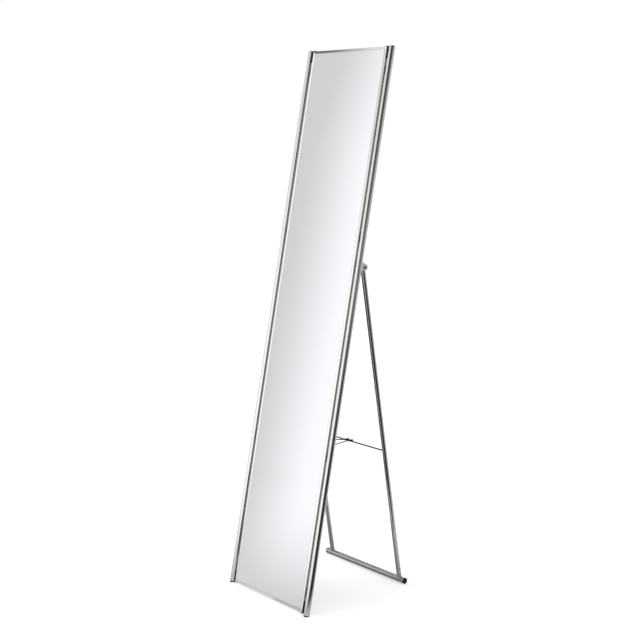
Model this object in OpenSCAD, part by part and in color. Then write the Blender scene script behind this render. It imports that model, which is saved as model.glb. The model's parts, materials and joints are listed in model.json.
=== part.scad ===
// Free-standing floor mirror that leans on a folding rear leg frame.
// Millimetres, +Z up, +Y towards the back, +X to the right seen from the front.
// The origin is on the floor, in the middle of the space that the mirror stands in.
// Mirror frame: x across, y = depth behind the side tubes' axes, z = height along the slope.

/* [Mirror glass] */
// Width of the glass
glass_w = 295; // [240:1:420]
// Length of the glass along the slope
glass_len = 1493; // [1200:1:1700]
// Thickness of the glass
glass_t = 4; // [3:0.5:6]
// Width of the bevel round the glass
bevel_w = 7; // [4:0.5:16]
// Depth of the bevel at the edge of the glass
bevel_depth = 1.2; // [0.6:0.1:2]
// Set-back of the glass face behind the front of the side tubes
glass_setback = 3; // [1:0.5:4]

/* [Backing] */
// Thickness of the foam sheet behind the glass
foam_t = 1; // [0.5:0.5:2]
// Distance of the foam's edge from the edge of the glass
foam_inset = 6; // [2:1:20]
// Thickness of the backing board
board_t = 3; // [2:0.5:5]
// Distance of the board's edge from the edge of the glass
board_inset = 0.5; // [0:0.5:3]
// Corner radius of the board
board_corner_r = 5; // [2:1:10]

/* [Side tubes] */
// Outer diameter of the side tubes
stile_d = 16; // [14:0.5:20]
// Wall of the side tubes
stile_wall = 1.5; // [1:0.1:2]
// Gap between the edge of the glass and a side tube
side_gap = 7; // [3.5:0.5:10]
// Height of the glass above the floor end of the side tubes
glass_rise = 5; // [4:0.5:12]
// Height of the top caps above the top of the glass
top_rise = 2; // [1.5:0.5:6]
// Thickness of the rim of a top cap
top_cap_t = 1.5; // [1:0.5:4]
// Rounding of the rim of a top cap
top_cap_round = 0.8; // [0.4:0.1:0.9]
// Thickness of a foot plug's rim at its thin rear side
foot_plug_min = 0.9; // [0.6:0.1:4]
// Length of a plug inside its tube
plug_len = 14; // [10:1:30]

/* [Cross rails] */
// Width of the flat rails
rail_w = 26; // [25:1:40]
// Thickness of the flat rails
rail_t = 4; // [3:0.5:6]
// Height of the bottom rail's middle
bottom_rail_h = 60; // [50:1:120]
// Height of the stay rail's middle above the folded cross rod
stay_rail_rise = 13; // [10:1:24]
// Height of the upper rail's middle above the pivot
upper_rail_rise = 75; // [45:1:150]
// Distance of the top rail's middle below the top of the glass
top_rail_drop = 60; // [50:1:120]

/* [Corner clips] */
// Length of a corner clip along the side tube
clip_len = 30; // [26:1:60]
// Thickness of the clip's wall over the edge of the glass
clip_wall = 1.2; // [0.8:0.1:2]
// Thickness of the clip's lip over the end of the glass
clip_lip_t = 1.8; // [1:0.1:2]
// Reach of the clip's lip along the end of the glass
clip_wrap = 7; // [3:0.5:20]
// Distance of the clip's web behind the bevel's edge
clip_web_setback = 2.6; // [1:0.1:4]
// Diameter of the clip's peg in the side tube
clip_peg_d = 4; // [3:0.5:5]
// Length of the peg inside the side tube's bore
clip_peg_len = 3; // [1:0.5:6]
// Gap between the peg and the end of the plug in the side tube
clip_peg_gap = 1.5; // [0.5:0.5:4]

/* [Stance] */
// Lean of the mirror from the vertical, in degrees
lean = 11.2; // [8:0.1:14]
// Lean of the rear legs from the vertical, in degrees
leg_angle = 9.3; // [7:0.1:12]

/* [Hinge] */
// Height of the leg's pivot along the slope
hinge_h = 925; // [850:1:1000]
// Depth of the leg's pivot behind the side tubes' axes
hinge_back = 31; // [26:0.5:45]
// Thickness of a hinge lug
lug_t = 2.5; // [2:0.5:4]
// Gap between a hinge lug and the inner side of its side tube
lug_gap = 1.7; // [1:0.1:4]
// Radius of the lug round the pivot
lug_r = 9; // [8:0.5:12]
// Height of the lug's root above the pivot
lug_root_up = 16; // [12:1:24]
// Height of the lug's root below the pivot
lug_root_down = 11; // [10:1:24]
// Depth of the lug's welded foot on the side tube
lug_foot = 5; // [4:0.5:6]
// Diameter of the pivot bolt
bolt_d = 6; // [5:0.5:6]
// Diameter of the pivot bolt's head
bolt_head_d = 10; // [9:0.5:12]
// Height of the pivot bolt's head
bolt_head_h = 3; // [2:0.5:4]
// Width of the hexagon socket in the bolt's head, across its flats
bolt_socket_af = 4; // [3:0.5:5]
// Thickness of the nylon washer
washer_t = 0.6; // [0.5:0.1:1.5]
// Diameter of the nylon washer
washer_d = 14; // [12:0.5:18]
// Width of the domed nut across its flats
nut_af = 10; // [9:0.5:13]
// Height of the domed nut's hexagon
nut_h = 4.5; // [4:0.5:8]

/* [Rear leg frame] */
// Outer diameter of the legs
leg_d = 13; // [12:0.5:16]
// Wall of the legs
leg_wall = 1.2; // [1:0.1:1.6]
// Length of a leg above its pivot
leg_top = 9; // [8:0.5:14]
// Height of the dome of a leg's plug
leg_plug_dome = 2.2; // [1:0.1:4]
// Diameter of the foot bar
foot_bar_d = 16; // [14:0.5:20]
// Wall of the foot bar
foot_bar_wall = 1.2; // [1:0.1:2]
// Reach of the foot bar's end, with its cap, beyond the axis of a leg
foot_bar_reach = 23; // [15:1:40]
// Diameter of the foot bar's caps
foot_cap_d = 17; // [17:0.5:24]
// Thickness of the foot bar's caps
foot_cap_t = 2; // [1.5:0.5:5]
// Diameter of the cross rod
cross_rod_d = 4; // [3:0.5:6]
// Distance of the cross rod below the pivot, along the leg
cross_rod_drop = 518; // [440:1:560]
// Diameter of the vent hole in a leg
vent_d = 3; // [2:0.5:4]
// Height of the vent hole above the foot bar's axis
vent_h = 33; // [20:1:80]

/* [Stay] */
// Diameter of the stay's wire
wire_d = 3; // [2.5:0.5:4]
// Bend radius of the wire
wire_bend_r = 6; // [5:0.5:6.5]
// Distance from the edge of the glass to the corner of the stay
stay_root_inset = 72; // [62:1:100]
// Distance between the two arms at the hooks
hook_pitch = 16; // [14:1:24]
// Height of the arms above the axis of the cross rod, at the hooks
hook_rise = 3; // [2.8:0.1:4]
// Wall of a hook
hook_t = 1.2; // [1:0.1:2]
// Length of a hook's socket, from the axis of the cross rod
hook_len = 11; // [10:0.5:14]
// Depth of a hook's lip below the axis of the cross rod
hook_drop = 2.5; // [2:0.1:5]
// Distance from the axis of the cross rod to the end of the wire in its socket
hook_seat = 6.5; // [6.5:0.5:7.5]
// Length of the straight wire in front of a hook's socket
hook_lead = 3; // [2:0.5:10]
// Width of a saddle along the wire
saddle_w = 10; // [8:1:16]
// Height of a saddle on its rail
saddle_h = 22; // [20:1:24]
// Thickness of the saddle's sheet
saddle_t = 1.2; // [1:0.1:1.6]
// Distance between the two screws of a saddle
saddle_screw_pitch = 15; // [14:0.5:16]

/* [Screws] */
// Distance from the edge of the glass to a board screw
board_screw_inset = 35; // [20:1:40]
// Diameter of the board screws
board_screw_d = 3.5; // [3:0.5:4]
// Head diameter of the board screws
board_screw_head_d = 6; // [5.5:0.5:8]
// Bite of a board screw into the board
board_screw_bite = 2; // [1:0.5:2]
// Diameter of the saddle screws
saddle_screw_d = 2.5; // [2:0.5:3]
// Head diameter of the saddle screws
saddle_screw_head_d = 4.4; // [4:0.2:5]
// Bite of a saddle screw into the rail
saddle_screw_bite = 3; // [2:0.5:3]
// Height of a screw's head
screw_head_h = 1.6; // [1.2:0.1:2.4]

/* [Fits] */
// Radial clearance of what turns on a pin
pivot_clear = 0.06; // [0.03:0.01:0.09]
// Radial clearance of a fixed pin, peg or screw in its hole
hole_clear = 0.1; // [0.05:0.05:0.3]
// Gap between parts that pass each other
running_gap = 0.3; // [0.2:0.1:0.5]
// Step of a cap's rim inside the outside of its tube
rim_step = 0.1; // [0.1:0.1:0.4]
// Gap between a cap's rim and the end of its tube
seat_gap = 0.05; // [0.02:0.01:0.2]

/* [Hidden] */
$fn = 64;
HEX = 6;
OVER = 1;
BIG = 4000;
// A straight of the wire laps into its bends by this much, and is thicker by the step
WIRE_LAP = 0.1;
WIRE_STEP = 0.005;

// Side tubes and panel, in the mirror frame
stile_r = stile_d / 2;
stile_bore_r = stile_r - stile_wall;
stile_x = glass_w / 2 + side_gap + stile_r;
glass_top = glass_rise + glass_len;
mirror_top = glass_top + top_rise;
foot_plug_t = stile_r * tan(lean) + foot_plug_min;
glass_front = -stile_r + glass_setback;
bevel_edge = glass_front + bevel_depth;
glass_back = glass_front + glass_t;
foam_back = glass_back + foam_t;
board_back = foam_back + board_t;
rail_back = board_back + rail_t;
stay_rail_h = hinge_h - cross_rod_drop + stay_rail_rise;
upper_rail_h = hinge_h + upper_rail_rise;
top_rail_h = glass_top - top_rail_drop;
rail_hs = [bottom_rail_h, stay_rail_h, upper_rail_h, top_rail_h];
board_screw_x = glass_w / 2 - board_screw_inset;

// Hinge and rear leg frame
leg_r = leg_d / 2;
lug_x = stile_x - stile_r - lug_gap - lug_t;
leg_x = lug_x - washer_t - running_gap - leg_r;
hinge_y = hinge_h * sin(lean) + hinge_back * cos(lean);
hinge_z = hinge_h * cos(lean) - hinge_back * sin(lean);
foot_z = foot_cap_d / 2;
leg_len = (hinge_z - foot_z) / cos(leg_angle);
foot_y = hinge_y + leg_len * sin(leg_angle);
open_angle = lean + leg_angle;

// Middle of the stance: from the front of the soles to the back of the foot caps
mid_y = (foot_y + foot_z - (stile_r - rim_step) / cos(lean)) / 2;

// Stay, in the mirror frame: its pivot, the cross rod and the arms above the rod
wire_r = wire_d / 2;
hook_bore_r = wire_r + hole_clear;
hook_r = hook_bore_r + hook_t;
rod_seat_r = cross_rod_d / 2 + running_gap;
stay_d = rail_back + wire_r + running_gap;
rod_d = hinge_back + cross_rod_drop * sin(open_angle);
rod_h = hinge_h - cross_rod_drop * cos(open_angle);
rod_dist = norm([rod_d - stay_d, rod_h - stay_rail_h]);
arm_angle = atan2(rod_h - stay_rail_h, rod_d - stay_d) + asin(hook_rise / rod_dist);
arm_len = sqrt(rod_dist * rod_dist - hook_rise * hook_rise);
stay_root_x = glass_w / 2 - stay_root_inset;
lead_run = arm_len - hook_len - hook_lead;
root_turn = 90 + atan2(stay_root_x - hook_pitch / 2, lead_run);
saddle_x = stay_root_x - wire_bend_r * tan(root_turn / 2) - running_gap - saddle_w / 2;

// Colours
chrome_grey = [0.80, 0.81, 0.82];
glass_silver = [0.86, 0.89, 0.91];
plastic_black = [0.06, 0.06, 0.06];
board_brown = [0.22, 0.17, 0.13];
foam_white = [0.92, 0.92, 0.90];
zinc_grey = [0.62, 0.63, 0.65];
nylon_white = [0.88, 0.87, 0.82];
LEFT = -1;
RIGHT = 1;

// ---------------------------------------------------------------- placing

// Draws in the mirror frame: z runs up the slope, y is the depth
module on_mirror() {
    translate([0, -mid_y, 0]) rotate([-lean, 0, 0]) children();
}

// Draws in the leg frame: the origin is on the pivot axis and the leg runs down along -z
module on_leg() {
    translate([0, hinge_y - mid_y, hinge_z]) rotate([leg_angle, 0, 0]) children();
}

// Draws a right-hand shape on the side that is asked for
module on_side(side) {
    mirror([side < 0 ? 1 : 0, 0, 0]) children();
}

// ---------------------------------------------------------------- basic shapes

// Cylinder along x from x0 to x1
module rod_x(r, x0, x1) {
    translate([x0, 0, 0]) rotate([0, 90, 0]) cylinder(h = x1 - x0, r = r);
}

// Cylinder along y from y0 to y1
module rod_y(r, y0, y1) {
    translate([0, y1, 0]) rotate([90, 0, 0]) cylinder(h = y1 - y0, r = r);
}

// Box from one corner to the other
module box(low, high) {
    translate(low) cube(high - low);
}

// Disc on z = 0 whose upper rim is rounded
module rounded_disc(r, h, round_r) {
    rotate_extrude() {
        square([r - round_r, h]);
        square([r, h - round_r]);
        translate([r - round_r, h - round_r]) intersection() {
            circle(round_r);
            square(round_r);
        }
    }
}

// Flat plate with round corners, w by h in x and z, t thick in y
module plate_xz(w, h, t, corner_r) {
    rotate([90, 0, 0]) translate([0, 0, -t]) linear_extrude(height = t) {
        translate([-w / 2 + corner_r, 0]) square([w - 2 * corner_r, h]);
        translate([-w / 2, corner_r]) square([w, h - 2 * corner_r]);
        for (x = [-w / 2 + corner_r, w / 2 - corner_r], z = [corner_r, h - corner_r])
            translate([x, z]) circle(corner_r);
    }
}

// Pan-head screw: its head stands on y = 0 towards +y and its shank runs to -y
module pan_screw(d, head_d, shank) {
    rotate([-90, 0, 0]) rounded_disc(head_d / 2, screw_head_h, screw_head_h / 2);
    rod_y(d / 2, -shank, 0);
}

// ---------------------------------------------------------------- bent wire

function unit(v) = v / norm(v);
function turn(p, i) = acos(unit(p[i] - p[i - 1]) * unit(p[i + 1] - p[i]));
function setback(p, r, i) = (i == 0 || i == len(p) - 1) ? 0 : r[i] * tan(turn(p, i) / 2);

// Cylinder from point a to point b
module rod_between(a, b, r) {
    v = b - a;
    tilt = acos(v.z / norm(v));
    translate(a) rotate([0, tilt, atan2(v.y, v.x)]) cylinder(h = norm(v), r = r);
}

// Bend of radius bend_r at the corner i of the path p
module wire_bend(p, i, bend_r, r) {
    a = unit(p[i] - p[i - 1]);
    b = unit(p[i + 1] - p[i]);
    inward = unit(b - a * (a * b));
    centre = p[i] - a * bend_r * tan(turn(p, i) / 2) + inward * bend_r;
    axis = cross(-inward, a);
    multmatrix([
        [-inward.x, a.x, axis.x, centre.x],
        [-inward.y, a.y, axis.y, centre.y],
        [-inward.z, a.z, axis.z, centre.z],
        [0, 0, 0, 1]
    ])
        rotate_extrude(angle = turn(p, i)) translate([bend_r, 0]) circle(r);
}

// Round wire along the path p, with a bend radius for each corner
module bent_wire(p, bend_rs, r) {
    for (i = [0 : len(p) - 2]) {
        along = unit(p[i + 1] - p[i]);
        from = p[i] + along * (setback(p, bend_rs, i) - (i == 0 ? 0 : WIRE_LAP));
        to = p[i + 1] - along * (setback(p, bend_rs, i + 1) - (i == len(p) - 2 ? 0 : WIRE_LAP));
        rod_between(from, to, r + WIRE_STEP);
    }
    for (i = [1 : len(p) - 2])
        wire_bend(p, i, bend_rs[i], r);
}

// ---------------------------------------------------------------- mirror panel

module mirror_glass() {
    edge_x = glass_w / 2;
    flat_x = edge_x - bevel_w;
    across = [
        [-edge_x, glass_back], [edge_x, glass_back], [edge_x, bevel_edge],
        [flat_x, glass_front], [-flat_x, glass_front], [-edge_x, bevel_edge]
    ];
    upright = [
        [glass_back, glass_rise], [glass_back, glass_top], [bevel_edge, glass_top],
        [glass_front, glass_top - bevel_w], [glass_front, glass_rise + bevel_w], [bevel_edge, glass_rise]
    ];
    color(glass_silver) on_mirror() intersection() {
        linear_extrude(height = glass_top + OVER) polygon(across);
        rotate([90, 0, 90]) translate([0, 0, -glass_w]) linear_extrude(height = 2 * glass_w) polygon(upright);
    }
}

module foam_sheet() {
    low = [-glass_w / 2 + foam_inset, glass_back, glass_rise + foam_inset];
    high = [glass_w / 2 - foam_inset, foam_back, glass_top - foam_inset];
    color(foam_white) on_mirror() box(low, high);
}

// Places the two board screws of each rail
module at_board_screws() {
    for (h = rail_hs, x = [-board_screw_x, board_screw_x])
        translate([x, rail_back, h]) children();
}

module backing_board() {
    color(board_brown) on_mirror() difference() {
        translate([0, foam_back, glass_rise + board_inset])
            plate_xz(glass_w - 2 * board_inset, glass_len - 2 * board_inset, board_t, board_corner_r);
        at_board_screws() rod_y(board_screw_d / 2 + hole_clear, -rail_t - board_screw_bite, 0);
    }
}

// ---------------------------------------------------------------- side tubes

// Height of a clip's peg, just inside of the plug at the bottom or at the top of the tube
function peg_h(at_top) =
    let (beyond = plug_len + clip_peg_gap + clip_peg_d / 2)
    at_top ? mirror_top - top_cap_t - beyond : foot_plug_t + beyond;

module stile(side) {
    tube_low = foot_plug_t + seat_gap;
    tube_high = mirror_top - top_cap_t - seat_gap;
    color(chrome_grey) on_mirror() on_side(side) difference() {
        translate([stile_x, 0, tube_low]) cylinder(h = tube_high - tube_low, r = stile_r);
        translate([stile_x, 0, 0]) cylinder(h = mirror_top, r = stile_bore_r);
        for (at_top = [false, true])
            translate([0, 0, peg_h(at_top)])
                rod_x(clip_peg_d / 2 + hole_clear, stile_x - stile_r - OVER, stile_x);
    }
}

module top_cap(side) {
    color(chrome_grey) on_mirror() on_side(side) translate([stile_x, 0, mirror_top - top_cap_t]) {
        rounded_disc(stile_r - rim_step, top_cap_t, top_cap_round);
        translate([0, 0, -plug_len]) cylinder(h = plug_len, r = stile_bore_r - hole_clear);
    }
}

// The sole is cut level with the floor
module foot_plug(side) {
    color(plastic_black) on_mirror() on_side(side) difference() {
        translate([stile_x, 0, 0]) {
            translate([0, 0, -stile_r]) cylinder(h = stile_r + foot_plug_t, r = stile_r - rim_step);
            cylinder(h = foot_plug_t + plug_len, r = stile_bore_r - hole_clear);
        }
        rotate([lean, 0, 0]) box([0, -BIG, -BIG], [BIG, BIG, 0]);
    }
}

// ---------------------------------------------------------------- cross rails

module cross_rail(h) {
    half_w = rail_w / 2;
    color(chrome_grey) on_mirror() difference() {
        box([-stile_x, board_back, h - half_w], [stile_x, rail_back, h + half_w]);
        for (x = [-stile_x, stile_x])
            translate([x, 0, 0]) cylinder(h = BIG, r = stile_r);
        for (x = [-board_screw_x, board_screw_x])
            translate([x, 0, h]) rod_y(board_screw_d / 2 + hole_clear, 0, rail_back + OVER);
        if (h == stay_rail_h)
            at_saddle_screws() rod_y(saddle_screw_d / 2 + hole_clear, -saddle_t - saddle_screw_bite, OVER);
    }
}

// ---------------------------------------------------------------- corner clips

// Clip for one corner; drawn for the right-hand top corner and flipped for the bottom ones
module corner_clip(side, at_top) {
    edge_x = glass_w / 2;
    edge_h = at_top ? glass_top : glass_rise;
    web_y = bevel_edge + clip_web_setback;
    color(plastic_black) on_mirror() on_side(side)
        translate([0, 0, edge_h]) mirror([0, 0, at_top ? 0 : 1]) {
            difference() {
                union() {
                    box([edge_x, bevel_edge, -clip_len], [edge_x + clip_wall, board_back, clip_lip_t]);
                    box([edge_x, web_y, -clip_len], [stile_x, board_back, clip_lip_t]);
                    box([edge_x - clip_wrap, bevel_edge, 0], [edge_x + clip_wall, board_back, clip_lip_t]);
                }
                translate([stile_x, 0, -BIG / 2]) cylinder(h = BIG, r = stile_r);
            }
            translate([0, 0, -abs(edge_h - peg_h(at_top))])
                rod_x(clip_peg_d / 2, edge_x + clip_wall, stile_x - stile_bore_r + clip_peg_len);
        }
}

// ---------------------------------------------------------------- hinge

// Point where a line from p touches the circle of radius r round c, on the given side of the line
function touch(c, r, p, hand) =
    let (v = c - p, dist = norm(v), swing = asin(r / dist), run = sqrt(dist * dist - r * r))
    p + run * [cos(atan2(v.y, v.x) + hand * swing), sin(atan2(v.y, v.x) + hand * swing)];

module hinge_lug(side) {
    pivot = [hinge_back, hinge_h];
    root_y = stile_r - lug_foot;
    low_root = [root_y, hinge_h - lug_root_down];
    high_root = [root_y, hinge_h + lug_root_up];
    low_touch = touch(pivot, lug_r, low_root, -1);
    high_touch = touch(pivot, lug_r, high_root, 1);
    color(chrome_grey) on_mirror() on_side(side) difference() {
        union() {
            translate([lug_x, 0, 0]) rotate([90, 0, 90]) linear_extrude(height = lug_t) {
                polygon([low_root, low_touch, pivot, high_touch, high_root]);
                translate(pivot) circle(lug_r);
            }
            box([lug_x, root_y, low_root.y], [stile_x - stile_r / 2, stile_r, high_root.y]);
        }
        translate([stile_x, 0, 0]) cylinder(h = BIG, r = stile_r);
        translate([0, hinge_back, hinge_h]) rod_x(bolt_d / 2 + hole_clear, 0, BIG);
    }
}

// Draws on the pivot axis, in the mirror frame
module at_pivot(side) {
    on_mirror() on_side(side) translate([0, hinge_back, hinge_h]) children();
}

module pivot_bolt(side) {
    head_x = lug_x + lug_t;
    socket_r = bolt_socket_af / 2 / cos(30);
    color(zinc_grey) at_pivot(side) difference() {
        union() {
            rod_x(bolt_d / 2, leg_x - leg_r - running_gap - nut_h, head_x);
            translate([head_x, 0, 0]) rotate([0, 90, 0])
                rounded_disc(bolt_head_d / 2, bolt_head_h, bolt_head_h / 2);
        }
        translate([head_x + bolt_head_h / 2, 0, 0]) rotate([0, 90, 0])
            cylinder(h = bolt_head_h, r = socket_r, $fn = HEX);
    }
}

module pivot_washer(side) {
    color(nylon_white) at_pivot(side) difference() {
        rod_x(washer_d / 2, lug_x - washer_t, lug_x);
        rod_x(bolt_d / 2 + hole_clear, 0, BIG);
    }
}

module pivot_nut(side) {
    nut_x = leg_x - leg_r - running_gap;
    nut_r = nut_af / 2 / cos(30);
    dome_r = nut_af / 2 - 0.5;
    color(zinc_grey) at_pivot(side) difference() {
        union() {
            translate([nut_x - nut_h, 0, 0]) rotate([0, 90, 0]) cylinder(h = nut_h, r = nut_r, $fn = HEX);
            translate([nut_x - nut_h, 0, 0]) sphere(dome_r);
        }
        rod_x(bolt_d / 2 + hole_clear / 2, nut_x - nut_h, nut_x + OVER);
        translate([nut_x - nut_h, 0, 0]) box([nut_h, -nut_af, -nut_af], [2 * nut_h, nut_af, nut_af]);
    }
}

// ---------------------------------------------------------------- rear leg frame

module leg(side) {
    color(chrome_grey) on_leg() on_side(side) difference() {
        translate([leg_x, 0, -leg_len]) cylinder(h = leg_len + leg_top, r = leg_r);
        translate([leg_x, 0, -leg_len - OVER])
            cylinder(h = leg_len + leg_top + 2 * OVER, r = leg_r - leg_wall);
        translate([0, 0, -leg_len]) rod_x(foot_bar_d / 2, 0, BIG);
        rod_x(bolt_d / 2 + pivot_clear, 0, BIG);
        translate([0, 0, vent_h - leg_len]) rod_x(vent_d / 2, leg_x, BIG);
    }
}

module leg_plug(side) {
    color(plastic_black) on_leg() on_side(side) translate([leg_x, 0, 0]) {
        translate([0, 0, leg_top + seat_gap])
            rounded_disc(leg_r - rim_step, leg_plug_dome, leg_plug_dome - rim_step);
        translate([0, 0, bolt_d / 2 + OVER])
            cylinder(h = leg_top + seat_gap - bolt_d / 2 - OVER, r = leg_r - leg_wall - hole_clear);
    }
}

module cross_rod() {
    color(chrome_grey) on_leg() difference() {
        translate([0, 0, -cross_rod_drop]) rod_x(cross_rod_d / 2, -leg_x, leg_x);
        for (x = [-leg_x, leg_x])
            translate([x, 0, -leg_len]) cylinder(h = leg_len, r = leg_r);
    }
}

module foot_bar() {
    half = leg_x + foot_bar_reach - foot_cap_t - seat_gap;
    color(chrome_grey) on_leg() translate([0, 0, -leg_len]) difference() {
        rod_x(foot_bar_d / 2, -half, half);
        rod_x(foot_bar_d / 2 - foot_bar_wall, -half - OVER, half + OVER);
    }
}

module foot_cap(side) {
    rim_x = leg_x + foot_bar_reach - foot_cap_t;
    color(plastic_black) on_leg() on_side(side) translate([rim_x, 0, -leg_len]) {
        rotate([0, 90, 0]) rounded_disc(foot_cap_d / 2, foot_cap_t, foot_cap_t / 2);
        rod_x(foot_bar_d / 2 - foot_bar_wall - hole_clear, -plug_len, 0);
    }
}

// ---------------------------------------------------------------- stay

// Draws in the plane of the stay's arms: the origin is on its pivot axis, y runs along the arms
module on_arms() {
    translate([0, stay_d, stay_rail_h]) rotate([arm_angle, 0, 0]) children();
}

// Round bar between the saddles, with two arms that draw in towards the hooks
module stay_wire() {
    half_pitch = hook_pitch / 2;
    right = [[half_pitch, arm_len - hook_seat, 0], [half_pitch, lead_run, 0], [stay_root_x, 0, 0]];
    left = [for (i = [len(right) - 1 : -1 : 0]) [-right[i].x, right[i].y, 0]];
    color(chrome_grey) on_mirror() on_arms()
        bent_wire(concat(right, left), [0, wire_bend_r, wire_bend_r, wire_bend_r, wire_bend_r, 0], wire_r);
}

// Moulded hook over the cross rod: a socket for the wire and a lip behind the rod.
// It is open downwards, and towards the mirror along the rod's way when the legs fold.
module stay_hook(side) {
    fold_dip = open_angle - arm_angle;
    back = rod_seat_r + hook_t;
    front = -2 * hook_len;
    corner_z = rod_seat_r * (1 + sin(fold_dip)) / cos(fold_dip);
    front_z = (rod_seat_r + front * sin(fold_dip)) / cos(fold_dip);
    color(plastic_black) on_mirror() on_side(side) on_arms()
        translate([hook_pitch / 2, arm_len, -hook_rise]) difference() {
            union() {
                translate([0, 0, hook_rise]) rod_y(hook_r, -hook_len, back);
                box([-hook_r, -back, -hook_drop], [hook_r, back, hook_rise]);
            }
            translate([-hook_r - OVER, 0, 0]) rotate([90, 0, 90]) linear_extrude(height = 2 * (hook_r + OVER))
                polygon([[rod_seat_r, front], [rod_seat_r, corner_z], [front, front_z], [front, front]]);
            translate([0, 0, hook_rise]) rod_y(hook_bore_r, -hook_len - OVER, -hook_seat);
        }
}

// Places the two screws of each saddle, on the saddle's outer face
module at_saddle_screws() {
    for (x = [-saddle_x, saddle_x], h = [-saddle_screw_pitch / 2, saddle_screw_pitch / 2])
        translate([x, rail_back + saddle_t, stay_rail_h + h]) children();
}

module stay_saddle(side) {
    bore_r = wire_r + pivot_clear;
    hump_r = bore_r + saddle_t;
    half_w = saddle_w / 2;
    color(zinc_grey) on_mirror() difference() {
        on_side(side) difference() {
            translate([saddle_x, 0, stay_rail_h]) {
                box([-half_w, rail_back, -saddle_h / 2], [half_w, rail_back + saddle_t, saddle_h / 2]);
                box([-half_w, rail_back, -hump_r], [half_w, stay_d, hump_r]);
                translate([0, stay_d, 0]) rod_x(hump_r, -half_w, half_w);
            }
            translate([0, stay_d, stay_rail_h]) rod_x(bore_r, 0, BIG);
            box([0, 0, stay_rail_h - bore_r], [BIG, stay_d, stay_rail_h + bore_r]);
            box([0, 0, 0], [BIG, rail_back, BIG]);
        }
        at_saddle_screws() rod_y(saddle_screw_d / 2 + hole_clear, -saddle_t - OVER, OVER);
    }
}

// ---------------------------------------------------------------- screws

module board_screws() {
    color(zinc_grey) on_mirror() at_board_screws()
        pan_screw(board_screw_d, board_screw_head_d, rail_t + board_screw_bite);
}

module saddle_screws() {
    color(zinc_grey) on_mirror() at_saddle_screws()
        pan_screw(saddle_screw_d, saddle_screw_head_d, saddle_t + saddle_screw_bite);
}

// ---------------------------------------------------------------- nodes

mirror_glass();
foam_sheet();
backing_board();
stile(LEFT);  // stile_left
stile(RIGHT);  // stile_right
cross_rail(top_rail_h);  // top_rail
cross_rail(upper_rail_h);  // upper_rail
cross_rail(stay_rail_h);  // stay_rail
cross_rail(bottom_rail_h);  // bottom_rail
corner_clip(LEFT, true);  // corner_clip_top_left
corner_clip(RIGHT, true);  // corner_clip_top_right
corner_clip(LEFT, false);  // corner_clip_bottom_left
corner_clip(RIGHT, false);  // corner_clip_bottom_right
top_cap(LEFT);  // top_cap_left
top_cap(RIGHT);  // top_cap_right
foot_plug(LEFT);  // foot_plug_left
foot_plug(RIGHT);  // foot_plug_right
hinge_lug(LEFT);  // hinge_lug_left
hinge_lug(RIGHT);  // hinge_lug_right
pivot_bolt(LEFT);  // pivot_bolt_left
pivot_bolt(RIGHT);  // pivot_bolt_right
pivot_washer(LEFT);  // pivot_washer_left
pivot_washer(RIGHT);  // pivot_washer_right
pivot_nut(LEFT);  // pivot_nut_left
pivot_nut(RIGHT);  // pivot_nut_right
stay_saddle(LEFT);  // stay_saddle_left
stay_saddle(RIGHT);  // stay_saddle_right
board_screws();
saddle_screws();
leg(LEFT);  // leg_left
leg(RIGHT);  // leg_right
leg_plug(LEFT);  // leg_plug_left
leg_plug(RIGHT);  // leg_plug_right
cross_rod();
foot_bar();
foot_cap(LEFT);  // foot_cap_left
foot_cap(RIGHT);  // foot_cap_right
stay_wire();
stay_hook(LEFT);  // stay_hook_left
stay_hook(RIGHT);  // stay_hook_right
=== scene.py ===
"""Finished look of a free-standing floor mirror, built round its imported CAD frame."""

import json
import math

import bmesh
import bpy
from bpy.props import FloatProperty, FloatVectorProperty, IntProperty, PointerProperty
from mathutils import Matrix, Vector


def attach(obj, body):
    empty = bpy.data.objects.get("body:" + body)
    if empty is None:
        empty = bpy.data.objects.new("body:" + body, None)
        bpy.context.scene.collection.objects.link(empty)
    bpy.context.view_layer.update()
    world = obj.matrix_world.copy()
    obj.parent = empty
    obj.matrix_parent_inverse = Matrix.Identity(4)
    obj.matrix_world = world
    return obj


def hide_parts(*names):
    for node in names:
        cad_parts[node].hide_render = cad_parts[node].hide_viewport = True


bl_info = {
    "name": "Floor mirror",
    "version": (1, 0, 0),
    "blender": (4, 5, 0),
    "location": "View3D > Sidebar > Floor mirror",
    "description": "Finishes, small parts and a studio for a leaning floor mirror on a folding leg frame",
    "category": "Object",
}

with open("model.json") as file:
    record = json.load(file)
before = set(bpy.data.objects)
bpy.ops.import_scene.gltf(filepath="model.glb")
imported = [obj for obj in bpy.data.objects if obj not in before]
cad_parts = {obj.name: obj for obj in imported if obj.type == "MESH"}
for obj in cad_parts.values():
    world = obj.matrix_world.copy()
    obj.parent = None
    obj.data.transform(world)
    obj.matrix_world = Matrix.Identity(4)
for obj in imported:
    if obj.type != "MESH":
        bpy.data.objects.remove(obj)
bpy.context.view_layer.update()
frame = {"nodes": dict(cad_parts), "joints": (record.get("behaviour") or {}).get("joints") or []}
NODES = frame["nodes"]
JOINTS = {joint["name"]: joint for joint in frame["joints"]}
SIDES = ("left", "right")
SIGN = {"left": -1.0, "right": 1.0}
MM = 0.001
FULL_TURN = 2.0 * math.pi

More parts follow.
